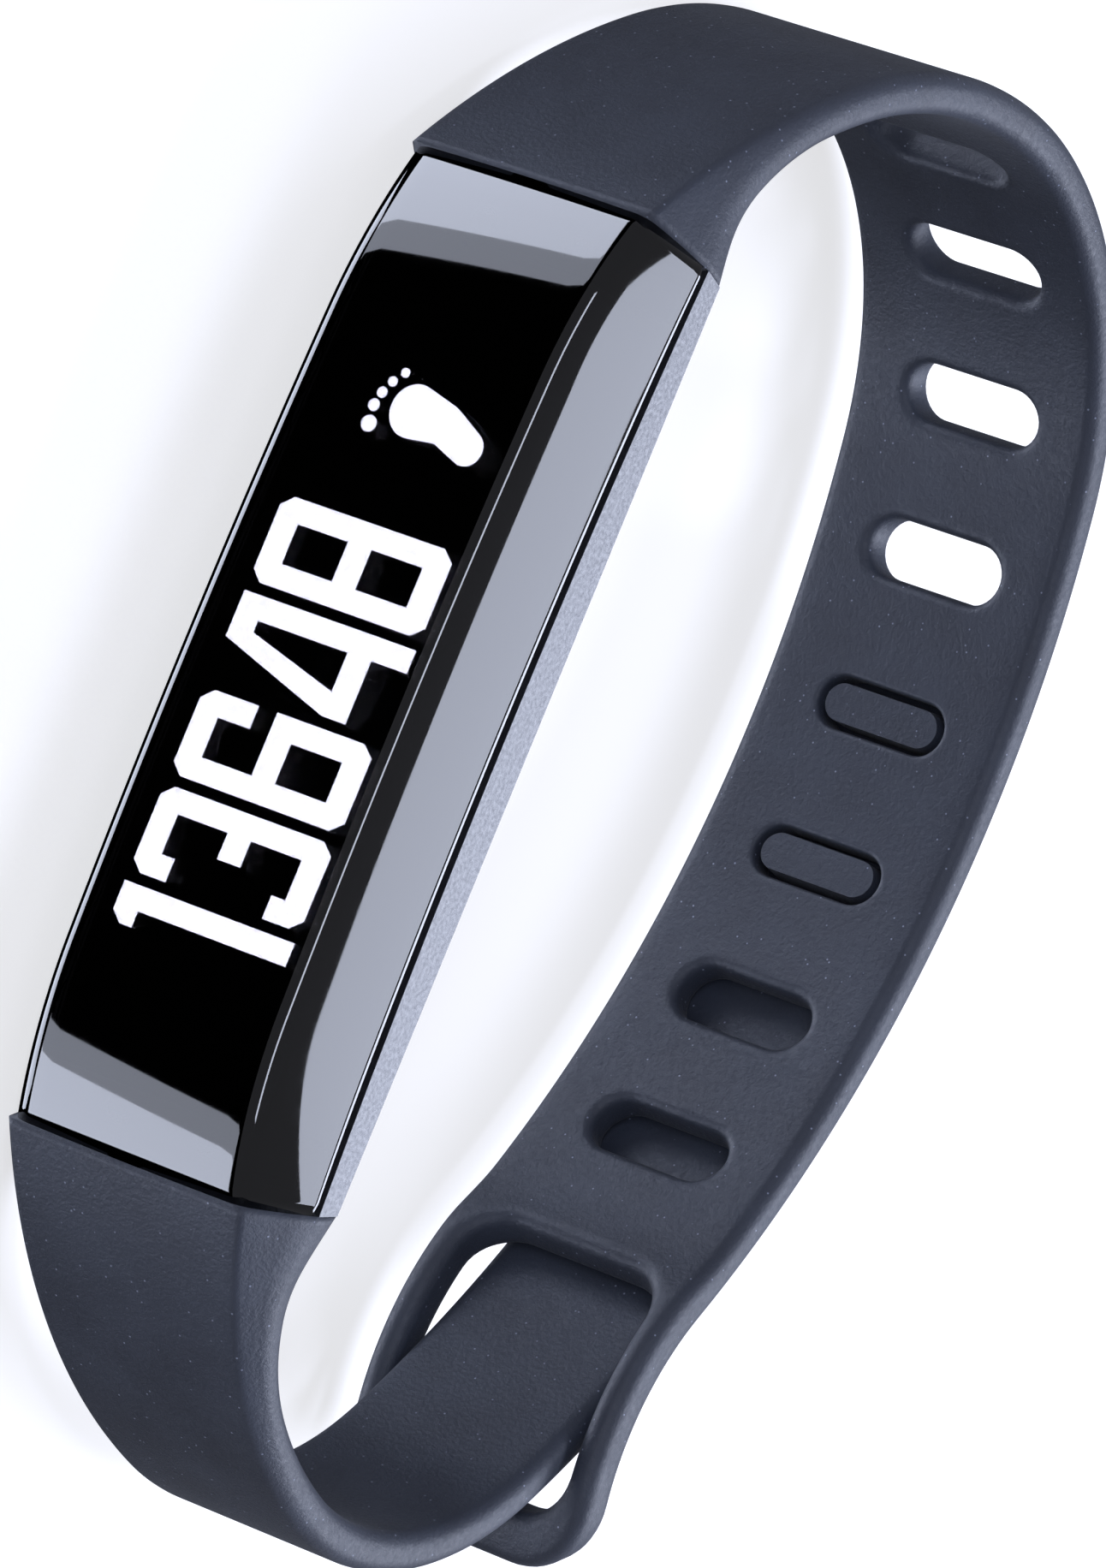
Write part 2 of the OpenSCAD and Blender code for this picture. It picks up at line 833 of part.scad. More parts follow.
loop_x0 = slot_end[0];
loop_x1 = arc_centre(slot_end, loop_arc).x + loop_arc[0] * sin(slot_end[2] + loop_arc[1]) - 0.1;
module loop_ring() {
    difference() {
        arc_solid(slot_end, loop_arc, right)
            strap_section(loop_t, slot_strap_w);
        through_loop(0, slot_end[1])
            rounded_rect(loop_x1 - end_bar - loop_open, loop_x1 - end_bar, slot_strap_w - 2 * rail_w, 1.4);
        through_loop(0, slot_end[1])
            difference() {
                translate([loop_x0 + 4, -band_w])
                    square([20, 2 * band_w]);
                rounded_rect(loop_x0 - 20, loop_x1, slot_strap_w, loop_corner);
            }
    }
}

module slot_strap() {
    color("#454b5c")
        place()
            difference() {
                union() {
                    strap_root(slot_start, slot_arcs, right, slot_strap_w, slot_root_len, -1);
                    run_solid(pose_along(slot_start, slot_arcs, slot_root_len),
                              arcs_after(slot_arcs, slot_root_len), right, slot_strap_w);
                    loop_ring();
                }
                for (i = [0:slot_count - 1])
                    at_pose(slot_pose(i), right)
                        slot_cut();
                tongue_shape(-1, fit_gap);
            }
}

module peg_strap() {
    color("#454b5c")
        place()
            difference() {
                union() {
                    strap_root(peg_start, peg_arcs, left, peg_strap_w, peg_root_len, 1);
                    run_solid(pose_along(peg_start, peg_arcs, peg_root_len),
                              arcs_after(peg_arcs, peg_root_len), left, peg_strap_w);
                    tail_piece(loop_angle - seam, link_angles[0]);
                }
                tongue_shape(1, fit_gap);
            }
}

// ---- Tail: three links that bend away from the band, the last with the pegs ----

seam = 0.04;

// Stretch of the tail between two angles on the back arc
module tail_piece(a0, a1) {
    translate(back_centre)
        rotate([0, 0, a0])
            rotate_extrude(angle = a1 - a0, $fn = 360)
                translate([tail_r, 0])
                    mirror([1, 0])
                        strap_section(strap_t, peg_strap_w);
}

module tail_link_1() {
    color("#454b5c")
        place()
            tail_piece(link_angles[0] + seam, link_angles[1]);
}

module tail_link_2() {
    color("#454b5c")
        place()
            tail_piece(link_angles[1] + seam, link_angles[2]);
}

// Outline in the band's width and along the tail that rounds the tip
tip_round = 4;
module tip_corners() {
    translate(back_centre)
        for (z = [-1, 1])
            rotate([0, 0, tip_angle])
                rotate([0, 90, 0])
                    linear_extrude(tail_r + 5)
                        difference() {
                            translate([z * peg_strap_w / 2 - tip_round * (z + 1) / 2, -tip_round])
                                square([tip_round + 1, tip_round + 1]);
                            translate([z * (peg_strap_w / 2 - tip_round), -tip_round])
                                circle(tip_round);
                        }
}

// Plate buried in the tail, with two pegs that narrow towards their tips
plate_t = 0.8;
plate_w = peg_strap_w - 2.9;
peg_len = strap_t + tail_gap + strap_t / 2 - 0.1;
peg_taper = 0.2;
module peg() {
    w = slot_w - 2 * peg_gap;
    half = (slot_len - slot_w) / 2;
    translate([0, strap_t / 2 - 0.1 - peg_len, 0]) {
        for (z = [-half, half])
            translate([0, 0, z])
                rotate([-90, 0, 0])
                    cylinder(d1 = w, d2 = w - 2 * peg_taper, h = peg_len, $fn = 48);
        translate([0, 0, -half])
            linear_extrude(2 * half)
                polygon([[-w / 2, 0], [w / 2, 0], [w / 2 - peg_taper, peg_len], [peg_taper - w / 2, peg_len]]);
    }
}

module plate_shape() {
    translate(back_centre)
        rotate([0, 0, peg_angles[0] - 3])
            rotate_extrude(angle = peg_angles[1] - peg_angles[0] + 6, $fn = 360)
                translate([tail_r - strap_t / 2 - plate_t / 2, -plate_w / 2])
                    square([plate_t, plate_w]);
    for (i = [2, 3])
        at_pose(slot_pose(i), right)
            peg();
}

module tail_end() {
    color("#454b5c")
        place()
            difference() {
                tail_piece(link_angles[2] + seam, tip_angle);
                tip_corners();
                plate_shape();
            }
}

module peg_plate() {
    color("#4a5062")
        place()
            plate_shape();
}

top_cover();
bottom_cover();
cover_gasket();
case_screws();
display_readout();
oled_panel();
oled_frame();
oled_flex();
circuit_board();
processor_chip();
radio_chip();
memory_chip();
motion_sensor();
clock_crystal();
bluetooth_antenna();
battery();
battery_foam();
battery_connector();
charging_contacts();
contact_insulator();
motor_case();
motor_lid();
motor_shaft();
motor_rotor();
slot_strap_tongue();
peg_strap_tongue();
strap_pins();
slot_strap();
peg_strap();
tail_link_1();
tail_link_2();
tail_end();
peg_plate();
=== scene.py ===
import bmesh
import bpy
import numpy as np
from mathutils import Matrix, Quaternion, Vector


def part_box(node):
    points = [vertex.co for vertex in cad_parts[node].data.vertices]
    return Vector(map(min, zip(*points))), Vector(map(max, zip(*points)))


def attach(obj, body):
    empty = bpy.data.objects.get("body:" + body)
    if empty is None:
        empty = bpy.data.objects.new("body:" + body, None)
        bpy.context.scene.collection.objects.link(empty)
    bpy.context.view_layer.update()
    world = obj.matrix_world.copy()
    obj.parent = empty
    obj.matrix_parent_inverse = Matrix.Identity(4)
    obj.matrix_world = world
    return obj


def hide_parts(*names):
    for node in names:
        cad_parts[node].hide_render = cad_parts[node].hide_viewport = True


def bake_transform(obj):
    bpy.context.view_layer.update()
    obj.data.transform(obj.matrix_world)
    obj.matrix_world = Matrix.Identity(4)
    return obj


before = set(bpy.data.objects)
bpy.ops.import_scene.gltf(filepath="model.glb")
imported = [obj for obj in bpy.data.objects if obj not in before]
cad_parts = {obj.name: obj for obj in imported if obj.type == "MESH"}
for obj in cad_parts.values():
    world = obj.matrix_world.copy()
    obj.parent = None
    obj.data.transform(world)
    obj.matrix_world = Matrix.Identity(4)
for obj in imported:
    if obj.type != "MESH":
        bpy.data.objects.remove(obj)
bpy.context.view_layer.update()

# The camera looks down on the screen from in front of the tracker, a long lens held at an arm's length,
# turned on its side so that the band stands upright in the frame. The colours are shown as they are.
camera = bpy.data.objects.new("camera", bpy.data.cameras.new("camera"))
bpy.context.collection.objects.link(camera)
bpy.context.scene.camera = camera
bpy.context.scene.view_settings.view_transform = "Standard"
camera.data.lens = 244.5
camera.data.clip_start = 0.01
aim = Vector((0.00159, -0.0178, 0.01788))
azimuth, elevation, roll = np.radians([4.65, 33.34, 109.8])
back = Vector((np.sin(azimuth) * np.cos(elevation), -np.cos(azimuth) * np.cos(elevation), np.sin(elevation)))
camera.location = aim + 0.45 * back
camera.rotation_mode = "QUATERNION"
camera.rotation_quaternion = back.to_track_quat("Z", "Y") @ Quaternion((0, 0, 1), roll)


# Colours and materials.
def linear(hex_colour):
    """sRGB hex to linear RGBA: each channel over 12.92 below 0.04045, else ((c + 0.055) / 1.055) ** 2.4."""
    c = np.array([int(hex_colour[i:i + 2], 16) for i in (1, 3, 5)]) / 255
    return (*np.where(c <= 0.04045, c / 12.92, ((c + 0.055) / 1.055) ** 2.4), 1.0)


def add(tree, kind, settings=(), **links):
    """Adds a node with its settings and links: a key names an input socket, or is its number after an
    underscore; a value is a constant, a socket, or a node whose first output is used."""
    node = tree.nodes.new(kind)
    for key, value in dict(settings).items():
        setattr(node, key, value)
    for key, value in links.items():
        key = int(key[1:]) if key[0] == "_" and key[1:].isdigit() else key.replace("_", " ")
        if isinstance(value, bpy.types.Node):
            value = value.outputs[0]
        if isinstance(value, bpy.types.NodeSocket):
            tree.links.new(value, node.inputs[key])
        else:
            node.inputs[key].default_value = value
    return node


def material(name):
    """New material and its empty node tree."""
    m = bpy.data.materials.new(name)
    m.use_nodes = True
    m.node_tree.nodes.clear()
    return m, m.node_tree


def finish_material(tree, shader):
    """Links a shader to the material's output."""
    tree.links.new(shader.outputs[0], tree.nodes.new("ShaderNodeOutputMaterial").inputs[0])


def stage_sheet(name, half, height, finish):
    """Square sheet of a half width at a height, in metres, that belongs to the stage."""
    mesh = bpy.data.meshes.new(name)
    mesh.from_pydata([(-half, -half, height), (half, -half, height), (half, half, height), (-half, half, height)],
                     [], [(0, 1, 2, 3)])
    sheet = bpy.data.objects.new(name, mesh)
    sheet.data.materials.append(finish)
    bpy.context.collection.objects.link(sheet)
    return sheet


# Painted pale board that the band lies on, lit through like a light table, with a faint roller texture.
painted_board, tree = material("painted_board")
place = add(tree, "ShaderNodeTexCoord")
roller = add(tree, "ShaderNodeTexNoise", Vector=place.outputs["Object"], Scale=900.0, Detail=3.0)
bump = add(tree, "ShaderNodeBump", Height=roller, Strength=0.02, Distance=0.0002)
finish_material(tree, add(tree, "ShaderNodeBsdfPrincipled", Base_Color=linear("#b4b4b8"), Roughness=0.75,
                          Specular_IOR_Level=0.2, Emission_Color=linear("#ffffff"),
                          Emission_Strength=0.65, Normal=bump))
floor = stage_sheet("floor", 3, 0, painted_board)

# The glossy cover does not mirror the board: what it mirrors there is a black cloth below and a few cards.
floor.visible_glossy = False
black_cloth, tree = material("black_cloth")
place = add(tree, "ShaderNodeTexCoord")
weave = add(tree, "ShaderNodeTexNoise", Vector=place.outputs["Object"], Scale=800.0)
bump = add(tree, "ShaderNodeBump", Height=weave, Strength=0.3, Distance=0.0005)
finish_material(tree, add(tree, "ShaderNodeBsdfPrincipled", Base_Color=(0.002, 0.002, 0.002, 1), Roughness=0.95,
                          Specular_IOR_Level=0.0, Normal=bump))
stage_sheet("cloth", 4, -0.7, black_cloth)

# Soft studio light: a pale room and rectangular softboxes.
world = bpy.data.worlds.new("studio")
world.use_nodes = True
world.node_tree.nodes["Background"].inputs[0].default_value = linear("#e4e6f2")
world.node_tree.nodes["Background"].inputs[1].default_value = 0.38
bpy.context.scene.world = world


def softbox(name, place, size, radiance):
    """Rectangular soft light of a size in metres and a radiance, aimed at the tracker."""
    light = bpy.data.lights.new(name, "AREA")
    light.shape = "RECTANGLE"
    light.size, light.size_y = size
    light.energy = radiance * np.pi * size[0] * size[1]
    light.color = linear("#e2e9fd")[:3]
    box = bpy.data.objects.new(name, light)
    box.location = place
    box.rotation_mode = "QUATERNION"
    box.rotation_quaternion = (Vector(place) - Vector((0, 0, 0.01))).to_track_quat("Z", "Y")
    bpy.context.collection.objects.link(box)


softbox("overhead", (-0.063, 0.26, 0.85), (0.6, 0.24), 8.5)
softbox("rim", (0.1, 0.6, 0.5), (0.6, 0.3), 13)
softbox("front", (-0.05, -0.8, 0.5), (0.9, 0.1), 12)
# Cards below the board's level, each a dim wide one behind a bright narrow one, seen only as the bright
# bands on the cover's two ends and its far edge.
for name, x, y in (("slot_end", -0.40, -0.32), ("peg_end", 0.37, -0.36)):
    softbox(name + "_core", (x, y, -0.33), (0.22, 0.3), 6)
    softbox(name + "_glow", (x, y - 0.03, -0.34), (0.32, 0.34), 4)
softbox("far_edge_card", (0, -0.15, -0.6), (0.6, 0.3), 8)

# The crown point is the middle of the cover's top face, in the row frame. The shapes below are in
# millimetres from it: x along the screen, y into the wrist, z across the band.
low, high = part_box("oled_panel")
cover_low, cover_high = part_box("top_cover")
crown_point = np.array([(low[0] + high[0]) / 2, cover_low[1], (cover_low[2] + cover_high[2]) / 2])


def grid_faces(rows, columns, wrap=False, first=0):
    """Quads of a grid of points stored row by row, its last column joined to its first where wrap is set.
    The number of the grid's first point is first."""
    r = np.arange(rows - 1)[:, None]
    c = np.arange(columns if wrap else columns - 1)[None, :]
    d = (c + 1) % columns
    return first + np.stack([r * columns + c, r * columns + d, (r + 1) * columns + d,
                             (r + 1) * columns + c], -1).reshape(-1, 4)


def make_piece(name, points, faces, finish, body=None):
    """Object of millimetre points round the crown point, with merged doubles and faces turned outwards."""
    mesh = bpy.data.meshes.new(name)
    mesh.from_pydata((points / 1000 + crown_point).tolist(), [], [list(map(int, f)) for f in faces])
    work = bmesh.new()
    work.from_mesh(mesh)
    bmesh.ops.remove_doubles(work, verts=work.verts, dist=2e-6)
    bmesh.ops.dissolve_degenerate(work, edges=work.edges, dist=1e-7)
    bmesh.ops.recalc_face_normals(work, faces=work.faces)
    work.to_mesh(mesh)
    work.free()
    mesh.polygons.foreach_set("use_smooth", [True] * len(mesh.polygons))
    piece = bpy.data.objects.new(name, mesh)
    piece.data.materials.append(finish)
    bpy.context.collection.objects.link(piece)
    if body:
        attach(piece, body)
    return piece


# The cover: smoked polycarbonate, injection moulded and polished, so dark that only the lit digits show
# through. It is crowned along its length, with a soft crease each side and a sloping flank below it.
smoked_polycarbonate, tree = material("smoked_polycarbonate")
place = add(tree, "ShaderNodeTexCoord")
# Moulded gloss is flat to the eye but for a very slow ripple, about 12 mm long.
ripple = add(tree, "ShaderNodeTexNoise", Vector=place.outputs["Object"], Scale=80.0, Detail=1.0)
bump = add(tree, "ShaderNodeBump", Height=ripple, Strength=0.02, Distance=0.0004)
# Fine hairline wear, at most 0.05 mm wide, only breaks the gloss a little.
wear = add(tree, "ShaderNodeTexNoise", Vector=place.outputs["Object"], Scale=1500.0, Detail=4.0)
gloss = add(tree, "ShaderNodeMapRange", Value=wear, From_Min=0.35, From_Max=0.75, To_Min=0.025, To_Max=0.045)
finish_material(tree, add(tree, "ShaderNodeBsdfPrincipled", Base_Color=(0.0016, 0.0016, 0.002, 1),
                          Roughness=gloss, IOR=1.58, Transmission_Weight=1.0, Normal=bump))

module_half = 22.65  # half length of the module, where the cover's top meets its end faces
end_depth = 2.29  # depth of that edge
end_slope = np.tan(np.radians(15))
cover_half = 7.87  # half width at the parting line
top_half = 6.2  # half width of the top, where its sides would meet the flanks
top_break = 14.5  # half length of the nearly flat middle of the top
middle_radius = 300
end_radius = 22.8
parting_depth = 5.1
parting_radius = 320


def crown(x):
    """Depth of the top face: a shallow arc up to the break, then a tighter circle tangent to it."""
    x = np.abs(x)
    turn = np.arcsin(top_break / middle_radius)
    cx = top_break - end_radius * np.sin(turn)
    cy = middle_radius - (middle_radius - end_radius) * np.cos(turn)
    reach = np.minimum(x - cx, end_radius - 0.8)
    return np.where(x < top_break, x ** 2 / (2 * middle_radius), cy - np.sqrt(end_radius ** 2 - reach ** 2))


def parting(x):
    """Depth of the line between the covers, a shallow arc."""
    return parting_depth + x ** 2 / (2 * parting_radius)


def end_at(y):
    """Half length at a depth, on an end face that slopes in by 15 degrees."""
    return module_half - end_slope * (y - end_depth)


def dome(inset, half_low, length, crease, swell_across):
    """Grid over the cover: across, a flank that swells slightly, a rounded crease, the top and the same
    again; along, the end faces fold down from the last stations. The inset is the top's depth,
    half_low the half width at the parting line, and swell_across how much deeper the top is 6 mm from
    its middle line."""
    top_slope, low_slope = np.radians([67, 77])
    depth = parting(0) - inset
    drop = depth - crease * (1 - np.cos(top_slope))
    flank_radius = drop / (np.cos(top_slope) - np.cos(low_slope))
    turn = np.linspace(low_slope, top_slope, 9)
    bend = np.linspace(top_slope, 0, 10)[1:]
    flank_z = half_low - flank_radius * (np.sin(low_slope) - np.sin(turn))
    flank_depth = depth - flank_radius * (np.cos(turn) - np.cos(low_slope))
    flat = flank_z[-1] - crease * np.sin(top_slope)
    z = np.concatenate([flank_z, flat + crease * np.sin(bend), np.linspace(flat, 0, 9)[1:]])
    f = np.concatenate([flank_depth, crease * (1 - np.cos(bend)), np.zeros(8)]) / depth
    z = np.concatenate([z, -z[-2::-1]])[None, :]
    f = np.concatenate([f, f[-2::-1]])[None, :]
    x = np.linspace(-1, 1, 81)[:, None] * length(crown(module_half) * (1 - f) + f * parting(module_half))
    y = crown(x) + inset + (z / 6) ** 2 * swell_across
    y = y + f * (parting(x) - y)
    fold = np.linspace(0, 1, 8)[1:, None]
    caps = []
    for side, row in ((-1, 0), (1, -1)):
        down = y[row] + fold * (parting(x[row]) - y[row])
        caps.append(np.stack([side * length(down), down, z + 0 * down], -1))
    return np.concatenate([caps[0][::-1], np.stack([x, y, z + 0 * x], -1), caps[1]])


def shell(outer, inner):
    """Closed wall between two grids of the same size, joined along all four edges."""
    rows, columns = outer.shape[:2]
    n = rows * columns
    faces = [grid_faces(rows, columns), grid_faces(rows, columns, first=n)[:, ::-1]]
    index = np.arange(n).reshape(rows, columns)
    rim = np.concatenate([index[0], index[1:, -1], index[-1, -2::-1], index[-2:0:-1, 0]])
    after = np.roll(rim, -1)
    faces.append(np.stack([rim, after, after + n, rim + n], -1))
    return np.concatenate([outer.reshape(-1, 3), inner.reshape(-1, 3)]), np.concatenate(faces)


outer = dome(0, cover_half, end_at, 1.1, 0.2)
wall = 1.1
inner_half, inner_end = 6.75, 18.95
inner = dome(wall, inner_half, lambda y: np.minimum(end_at(y), inner_end), 0.3, 0)
cover = make_piece("cover", *shell(outer, inner), smoked_polycarbonate, "module")
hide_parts("top_cover")

# The slotted strap: silicone rubber, compression moulded with a fine satin grain. It leaves the module at
# the full width of its end, thins to a plain strip with soft edges, and ends in a rounded loop.
silicone, tree = material("moulded_silicone")
place = add(tree, "ShaderNodeTexCoord")
# The mould is bead blasted: a grain of about 0.25 mm, coarser than the real 0.05 mm so that it shows.
grain = add(tree, "ShaderNodeTexNoise", Vector=place.outputs["Object"], Scale=4200.0, Detail=5.0, Roughness=0.65)
# Handling leaves slow cloudy patches a few millimetres wide.
cloud = add(tree, "ShaderNodeTexNoise", Vector=place.outputs["Object"], Scale=260.0, Detail=3.0)
tint = add(tree, "ShaderNodeValToRGB", Fac=cloud)
for stop, position, shade in zip(tint.color_ramp.elements, (0.3, 0.7), ("#2e323d", "#343945")):
    stop.position, stop.color = position, linear(shade)
# Dust and painted glints sit on the grain, under 0.1 mm each, in some of its cells: pale dots in the base colour,
# partly real dust and partly painted highlight.
dust_and_glint_cells = add(tree, "ShaderNodeTexVoronoi", Vector=place.outputs["Object"], Scale=2200.0)
chosen = add(tree, "ShaderNodeMath", {"operation": "GREATER_THAN"}, _0=dust_and_glint_cells.outputs["Color"], _1=0.55)
spot = add(tree, "ShaderNodeMapRange", Value=dust_and_glint_cells.outputs["Distance"], From_Min=0.05, From_Max=0.13,
           To_Min=0.7, To_Max=0.0)
dust_and_glint = add(tree, "ShaderNodeMath", {"operation": "MULTIPLY"}, _0=spot, _1=chosen)
# Mixes the pale dots into the base colour: partly dust, partly painted highlight.
colour = add(tree, "ShaderNodeMix", {"data_type": "RGBA"}, _0=dust_and_glint, _6=tint, _7=linear("#8c93a8"))
rough = add(tree, "ShaderNodeMapRange", Value=grain, From_Min=0.3, From_Max=0.7, To_Min=0.42, To_Max=0.6)
bump = add(tree, "ShaderNodeBump", Height=grain, Strength=0.7, Distance=0.00006)
finish_material(tree, add(tree, "ShaderNodeBsdfPrincipled", Base_Color=colour.outputs[2], Roughness=rough,
                          IOR=1.41, Sheen_Weight=0.05, Sheen_Roughness=0.4, Normal=bump))

half_thick = 0.95
edge_round = 0.75  # radius of the strap's rolled edges
root_rise = 3.4  # how much thicker the strap is at the module
root_turn = 7  # how far from the module the strap's thickness still leans along the module's end face


def trace(start, arcs, inside):
    """Where each arc of a strap's outer line starts, and its length along the strap's middle. The start
    is x, y and a heading; inside is 1 where the ring's inside is left of the heading and -1 where right."""
    x, y, h = start
    rows, s = [], 0.0
    for radius, turn in arcs:
        length = (radius - np.sign(turn) * inside * half_thick) * abs(np.radians(turn))
        rows.append((x, y, np.radians(h), radius * np.sign(turn), np.radians(turn), s, length))
        s += length
        a, b, r = np.radians(h), np.radians(h + turn), radius * np.sign(turn)
        x += r * (np.sin(b) - np.sin(a))
        y += r * (np.cos(a) - np.cos(b))
        h += turn
    return np.array(rows), inside, np.sign(start[0])


def on_strap(path, s, z, depth):
    """Point at a distance along, a distance across, and a depth below the outer face. The depth runs
    square to the strap, and along the module's sloping end face where they meet."""
    rows, inside, side = path
    s, z, depth = np.broadcast_arrays(s, z, depth)
    k = np.clip(np.searchsorted(rows[:, 5], s, side="right") - 1, 0, len(rows) - 1)
    x0, y0, h0, r, turn, s0, length = rows[k].transpose(-1, *range(s.ndim))
    h = h0 + turn * (s - s0) / length
    x = x0 + r * (np.sin(h) - np.sin(h0))
    y = y0 + r * (np.cos(h0) - np.cos(h))
    near = np.clip(1 - s / root_turn, 0, 1)
    near = near * near * (3 - 2 * near)
    dx = (1 - near) * -inside * np.sin(h) - near * side * end_slope
    dy = (1 - near) * inside * np.cos(h) + near
    size = np.hypot(dx, dy)
    return np.stack([x + dx / size * depth, y + dy / size * depth, z], -1)


def fade(s, length, power):
    """Falls from 1 at the module to 0 at a length."""
    return np.clip(1 - s / length, 0, 1) ** power


def thickness(s):
    """The strap's thickness, rising towards the module, where s is 0."""
    return 2 * half_thick + root_rise * fade(s, 13, 2.2)


inner_round = 0.5
flank_share = 3.6 / 5.3  # how far down a root its flank reaches


def edge_strip(line, normal, thick, root=None):
    """Rolls the edge from the outer face to the inner one along a line of (s, z): a quarter circle, a
    short upright and a quarter circle. At a root, given as how much of one it is and how wide, it is a
    soft crease, a flank and an upright side instead, with an inner edge of inner_round."""
    quarter = np.linspace(0, np.pi / 2, 7)
    out = edge_round * np.concatenate([np.sin(quarter), [1], np.sin(quarter[::-1])])[None, :]
    down = edge_round * (1 - np.cos(quarter))
    t = thick[:, None]
    depth = np.concatenate([down + 0 * t, t / 2, t - down[::-1]], 1)
    if root is not None:
        blend, wide = (v[:, None] for v in root)
        run = np.array([0, 0.16, 0.28, 0.36])
        fall = np.array([0, 0.02, 0.10, 0.25])
        down_flank = np.array([0.33, 0.67, 1])
        low = flank_share * t
        root_out = np.concatenate([run + 0 * t, run[-1] + (wide - run[-1]) * down_flank, wide,
                                   wide - inner_round + inner_round * np.sin(quarter[::-1])], 1)
        root_depth = np.concatenate([fall + 0 * t, fall[-1] + (low - fall[-1]) * down_flank,
                                     (low + t - inner_round) / 2,
                                     t - inner_round * (1 - np.cos(quarter[::-1]))], 1)
        out = out + blend * (root_out - out)
        out[:, -1] = (blend * (wide - inner_round))[:, 0]
        depth = depth + blend * (root_depth - depth)
    out = out + 0 * t
    return np.stack([line[:, :1] + out * normal[:, :1], line[:, 1:] + out * normal[:, 1:], depth], -1)


def pointed(grids, path):
    """Joins grids of (s, z, depth), each with its wrap flag, into points and faces on a strap."""
    points, faces, n = [], [], 0
    for grid, wrap in grids:
        points.append(on_strap(path, grid[..., 0], grid[..., 1], grid[..., 2]).reshape(-1, 3))
        faces.append(grid_faces(*grid.shape[:2], wrap=wrap, first=n))
        n += len(points[-1])
    return np.concatenate(points), [list(f) for f in np.concatenate(faces)]


across = np.linspace(-1, 1, 25)


def plain_run(s, plain_half, root_length, blend_length):
    """Outer face, inner face and both edges of a stretch of strap: from the module's width to its own
    half width over root_length, its flank fading over blend_length."""
    t = thickness(s)
    crease = plain_half - edge_round + (top_half - plain_half + edge_round) * fade(s, root_length, 1.6)
    wide = plain_half + (cover_half - plain_half) * fade(s, root_length, 1.6) - crease
    blend = fade(s, blend_length, 1.3)
    inner = crease + blend * (wide - inner_round)
    column = s[:, None] + 0 * across
    faces = [(np.stack([column, crease[:, None] * across, 0 * column], -1), False),
             (np.stack([column, inner[:, None] * across, t[:, None] + 0 * column], -1), False)]
    for side in (-1, 1):
        line = np.stack([s, side * crease], -1)
        normal = np.stack([0 * s, side + 0 * s], -1)
        faces.append((edge_strip(line, normal, t, (blend, wide)), False))
    return faces


def holed_cell(boundary, centre, hole, lip, thick):
    """Both faces and the wall of a patch with a hole: rings run from the hole's rim to the boundary, and
    near the rim each face rolls into the wall on a quarter circle of radius lip."""
    ray = boundary - centre
    near, far = np.zeros(len(ray)), np.ones(len(ray))
    for _ in range(40):
        mid = (near + far) / 2
        inside_hole = hole(centre + ray * mid[:, None]) < 0
        near, far = np.where(inside_hole, mid, near), np.where(inside_hole, far, mid)
    rim = centre + ray * far[:, None]
    steps = np.array([0, 0.02, 0.05, 0.09, 0.14, 0.2, 0.3, 0.45, 0.7, 1])[:, None, None]
    p = rim + steps * (boundary - rim)
    d = np.clip(hole(p), 0, lip)
    d[0] = 0
    roll = lip - np.sqrt(lip ** 2 - (lip - d) ** 2)
    t = thick(p[..., 0])
    outer_face = np.concatenate([p, roll[..., None]], -1)
    inner_face = np.concatenate([p, (t - roll)[..., None]], -1)
    wall = np.stack([outer_face[0], inner_face[0]])
    return [(outer_face, True), (inner_face, True), (wall, True)]


def rounded_box(half_s, half_z, radius, centre):
    """Signed distance to a rectangle in (s, z) with rounded corners: negative inside."""
    def distance(p):
        q = np.abs(p - centre) - np.array([half_s, half_z]) + radius
        return np.hypot(*np.clip(q, 0, None).transpose(-1, *range(q.ndim - 1))) \
            + np.minimum(q.max(-1), 0) - radius
    return distance


slot_path = trace((-module_half, end_depth, 141), [(44, -20), (24, -34), (19, -72), (54, -45), (11.8, 66)], -1)
strap_half = 6.8
slot_root = (strap_half, 15, 16)  # its half width, and how far its root's width and flank reach
loop_s = slot_path[0][4, 5]
slot_pitch = 7.6
slot_s = loop_s - 7.1 - slot_pitch * np.arange(8)[::-1]
pegged_slots = (4, 5)
inset_half = strap_half - edge_round


def loop_thick(s):
    """The strap's thickness, growing to 2.2 mm round the loop."""
    u = np.clip((s - loop_s + 3) / 4, 0, 1)
    return thickness(s) + 0.3 * u * u * (3 - 2 * u)


def slot_sides(s):
    """Both edges of the strap along its slots."""
    return [(edge_strip(np.stack([s, side * inset_half + 0 * s], -1), np.stack([0 * s, side + 0 * s], -1),
                        loop_thick(s)), False) for side in (-1, 1)]


slot_grids = plain_run(np.linspace(0, slot_s[0] - slot_pitch / 2, 64), *slot_root)
for number, s in enumerate(slot_s):
    lip, ease = (0.22, 0.13) if number in pegged_slots else (0.5, 0)  # a pegged slot fits its peg closely
    run = np.linspace(s - slot_pitch / 2, s + slot_pitch / 2, 17)
    z = inset_half * across
    boundary = np.concatenate([np.stack([run[0] + 0 * z, z], -1), np.stack([run, inset_half + 0 * run], -1)[1:],
                               np.stack([run[-1] + 0 * z, -z], -1)[1:],
                               np.stack([run[::-1], -inset_half + 0 * run], -1)[1:-1]])
    centre = np.array([s, 0.0])
    hole = rounded_box(1.4 - ease, 3.6 - ease, 1.4 - ease, centre)
    slot_grids += holed_cell(boundary, centre, hole, lip, loop_thick) + slot_sides(run)

